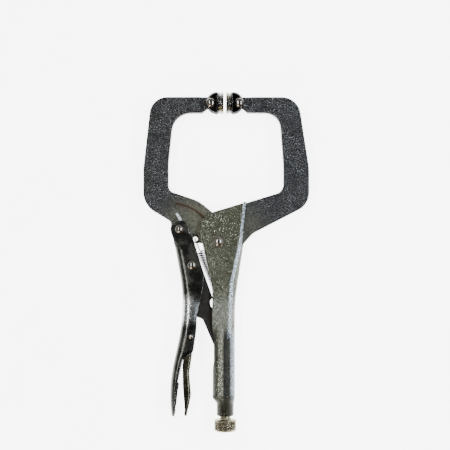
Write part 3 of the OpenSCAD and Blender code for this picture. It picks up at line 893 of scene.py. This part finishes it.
def knob():
    """A round knob with a diamond knurl between two plain rims."""
    sides, steps, height = 180, 46, KNOB_TOP - KNOB_END
    # radius and height, and no radius where the knurl gives it
    end = [(0.0, 0.15), (3.2, 0.15), (3.6, 0.4), (5.0, 0.4), (5.4, 0.0), (7.6, 0.0), (8.5, 0.45), (8.9, 1.2)]
    body = [(None, KNURL_RIM + (height - 2 * KNURL_RIM) * i / steps) for i in range(steps + 1)]
    top = [(8.9, height - 1.2), (8.3, height - 0.4), (7.4, height - 0.1), (4.9, height - 0.1),
           (4.7, height - 0.2)]
    rows = []
    for r, h in end + body + top:
        ring = []
        for i in range(sides):
            a = 2 * math.pi * i / sides
            if r is None:
                turn = h / height * 2 * math.pi * KNURL_TWIST
                one = abs(math.sin(KNURL_RIDGES / 2 * (a + turn)))
                two = abs(math.sin(KNURL_RIDGES / 2 * (a - turn)))
                rim = smooth((h - KNURL_RIM) / 0.8) * smooth((height - KNURL_RIM - h) / 0.8)
                radius = KNOB_R - 0.05 - KNURL_DEPTH * (1 - min(one, two) ** 0.7) * rim
            else:
                radius = max(r, 0.02)
            ring.append((SCREW_X + radius * math.cos(a), KNOB_END + h, radius * math.sin(a)))
        rows.append(ring)
    return ring_rows("knob_knurled", rows, knob_steel)


stand_in(knob(), "knob", ["screw_knob"])

# ---------------------------------------------------------------- spring

SPRING_TOP = Vector((-18.3, 0.4, 0))
SPRING_FOOT = Vector((8.96, -66, 0))
SPRING_WAY = (SPRING_FOOT - SPRING_TOP).normalized()
SPRING_SIDE = Vector((-SPRING_WAY.y, SPRING_WAY.x, 0))
SPRING_L = (SPRING_FOOT - SPRING_TOP).length
COIL_FROM, COIL_TO, TURNS, COIL_R, HOOK_R, WIRE_R = 9.0, 57.0, 25, 2.5, 2.6, 0.5


def spring_point(s, w, z):
    """The point s down the spring from its upper hook, w to its side and z up."""
    return SPRING_TOP + s * SPRING_WAY + w * SPRING_SIDE + Vector((0, 0, z))


def spring_path():
    """The wire's middle: the upper hook, the coil and the lower hook."""
    path, steps = [], 16
    for i in range(15):
        a = math.radians(215 - 260 * i / 14)
        path.append(spring_point(-HOOK_R * math.sin(a), 0, HOOK_R * math.cos(a)))
    for i in range(TURNS * steps + 1):
        a = 2 * math.pi * i / steps
        s = COIL_FROM + (COIL_TO - COIL_FROM) * i / (TURNS * steps)
        path.append(spring_point(s, COIL_R * math.sin(a), COIL_R * math.cos(a)))
    for i in range(15):
        a = math.radians(-45 - 260 * i / 14)
        path.append(spring_point(SPRING_L + HOOK_R * math.sin(a), 0, HOOK_R * math.cos(a)))
    return path


def spring():
    path, sides = spring_path(), 10
    rows, normal = [], None
    for i, q in enumerate(path):
        tangent = (path[min(i + 1, len(path) - 1)] - path[max(i - 1, 0)]).normalized()
        base = SPRING_SIDE if normal is None else normal
        normal = (base - tangent * base.dot(tangent)).normalized()
        other = tangent.cross(normal)
        rows.append([tuple(q + u * normal + v * other) for u, v in circle(WIRE_R, sides)])
    return ring_rows("tension_spring", rows, spring_steel)


coil = spring()
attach(coil, "handle")
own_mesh(coil)
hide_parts("jaw_spring")

# ---------------------------------------------------------------- pieces that keep the CAD shape

for node in ("jaw_rivet", "lever_rivet", "link_rivet", "release_pin", "fixed_pad_rivet", "movable_pad_rivet"):
    keep_shape(node, rivet_steel)
for node in ("fixed_pad_disc", "movable_pad_disc"):
    keep_shape(node, pad_steel)
for node in ("fixed_pad_yoke", "movable_pad_yoke"):
    keep_shape(node, yoke_black)

# ---------------------------------------------------------------- floor, light and camera


def floor():
    """A pale table that gives a little light of its own, as the photo's white ground does."""
    n = Nodes("pale_floor")
    tone = n.noise(60.0, 3.0, 0.5)
    color = n.mix(n.remap(tone, 0.3, 0.7), (0.93, 0.93, 0.93), (0.95, 0.95, 0.95))
    material = n.finish(color, 0.0, 0.8, n.bump(tone, 0.02, 0.2), Emission_Color=color, Emission_Strength=6.0)
    size, low = 4.0, -0.0002
    mesh = bpy.data.meshes.new("floor")
    mesh.from_pydata([(-size, -size, low), (size, -size, low), (size, size, low), (-size, size, low)], [],
                     [(0, 1, 2, 3)])
    mesh.materials.append(material)
    obj = bpy.data.objects.new("floor", mesh)
    bpy.context.scene.collection.objects.link(obj)


def area_light(name, at, size, power, color=(1, 1, 1), size_y=None):
    """A lamp at a point, turned to the origin, with its size_y along the object's length."""
    data = bpy.data.lights.new(name, "AREA")
    data.shape = "RECTANGLE"
    data.size, data.size_y = size, size_y or size
    data.energy, data.color = power, color
    obj = bpy.data.objects.new(name, data)
    bpy.context.scene.collection.objects.link(obj)
    away = Vector(at).normalized()
    across = Vector((0, 1, 0)).cross(away).normalized()
    turned = Matrix((across, away.cross(across), away)).transposed().to_4x4()
    obj.matrix_world = Matrix.Translation(at) @ turned


def surroundings():
    """Studio light: a world that is pale at the sides and dark overhead, warm towards -Y, and three lamps."""
    world = bpy.data.worlds.new("studio")
    bpy.context.scene.world = world
    world.use_nodes = True
    tree = world.node_tree
    way = tree.nodes.new("ShaderNodeTexCoord").outputs["Generated"]
    split = tree.nodes.new("ShaderNodeSeparateXYZ")
    ramp = tree.nodes.new("ShaderNodeValToRGB")
    tree.links.new(way, split.inputs[0])
    tree.links.new(split.outputs["Z"], ramp.inputs[0])
    stops = ramp.color_ramp.elements
    stops[0].position, stops[0].color = 0.0, (0.5, 0.48, 0.44, 1)
    stops[1].position, stops[1].color = 1.0, (0.03, 0.03, 0.031, 1)
    for at, value in ((0.3, 0.8), (0.6, 0.45), (0.82, 0.09)):
        stop = stops.new(at)
        stop.color = (value, value, value * 1.02, 1)
    warm = tree.nodes.new("ShaderNodeMapRange")
    warm.interpolation_type = "SMOOTHSTEP"
    for i, number in enumerate((-0.2, -0.75, 0.0, 0.9), start=1):
        warm.inputs[i].default_value = number
    tree.links.new(split.outputs["Y"], warm.inputs[0])
    mix = tree.nodes.new("ShaderNodeMix")
    mix.data_type, mix.blend_type = "RGBA", "MULTIPLY"
    mix.inputs[7].default_value = (0.5, 0.27, 0.09, 1)
    tree.links.new(warm.outputs[0], mix.inputs[0])
    tree.links.new(ramp.outputs[0], mix.inputs[6])
    background = tree.nodes["Background"]
    tree.links.new(mix.outputs[2], background.inputs[0])
    background.inputs[1].default_value = 1.0
    area_light("key", (-0.47, 0.25, 1.1), 0.1, 17, size_y=1.2)
    area_light("rim", (0.75, 0.1, 0.95), 0.12, 24, (0.8, 0.89, 1.0), 1.2)
    area_light("fill", (-0.5, -1.2, 0.8), 0.6, 14, (1.0, 0.93, 0.84))


def camera():
    """Straight down, with the given width of the object's middle plane in view."""
    width, lens, sensor = 0.369, 116.0, 36.0
    centre_x, centre_y, middle_plane = -0.00106, 0.03018, 0.012
    data = bpy.data.cameras.new("camera")
    data.lens, data.sensor_width = lens, sensor
    obj = bpy.data.objects.new("camera", data)
    bpy.context.scene.collection.objects.link(obj)
    obj.location = (centre_x, centre_y, middle_plane + width * lens / sensor)
    bpy.context.scene.camera = obj


floor()
surroundings()
camera()
